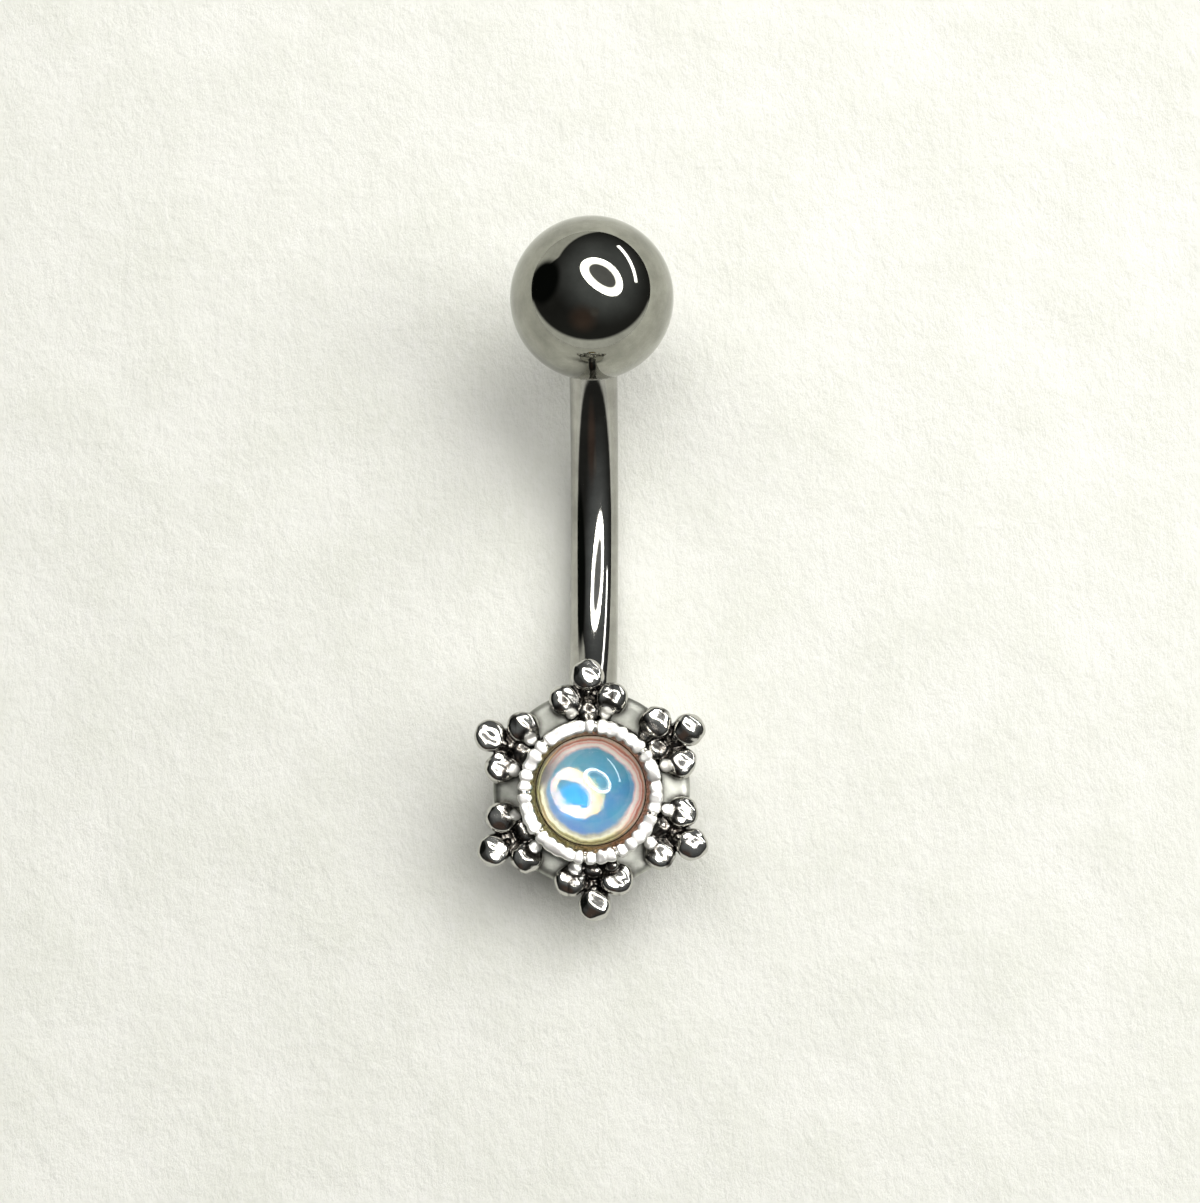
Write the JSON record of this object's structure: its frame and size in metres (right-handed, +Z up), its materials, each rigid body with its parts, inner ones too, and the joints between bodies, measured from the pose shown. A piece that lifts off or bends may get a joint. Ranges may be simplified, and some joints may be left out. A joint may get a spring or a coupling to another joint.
{
  "type": "curved barbell",
  "caption": "Curved body-jewellery barbell: a bent bar with a screw-on ball at one end and a cast snowflake setting round a domed glass stone at the other.",
  "frame": {"origin": "on the surface that the piece lies on, under the middle of its bounding box", "axes": "+Z up, +Y along the piece from the setting towards the ball, +X to the right when the setting is nearest and the ball furthest away"},
  "size_m": [0.007, 0.0212, 0.0073],
  "materials": {
    "bar_steel": "polished",
    "ball_steel": "polished",
    "plated_casting": "polished",
    "foil": "gloss",
    "stone_glass": "gloss"
  },
  "bodies": {
    "barbell": {"bar": "bar_steel", "setting": "plated_casting", "foil_back": "foil", "cabochon": "stone_glass"},
    "ball": {"ball": "ball_steel"}
  },
  "joints": [
    {"name": "ball_off", "type": "slide", "parent": "barbell", "child": "ball", "axis": [0, 0.7153, 0.6988], "range_m": [0, 0.0035]}
  ]
}
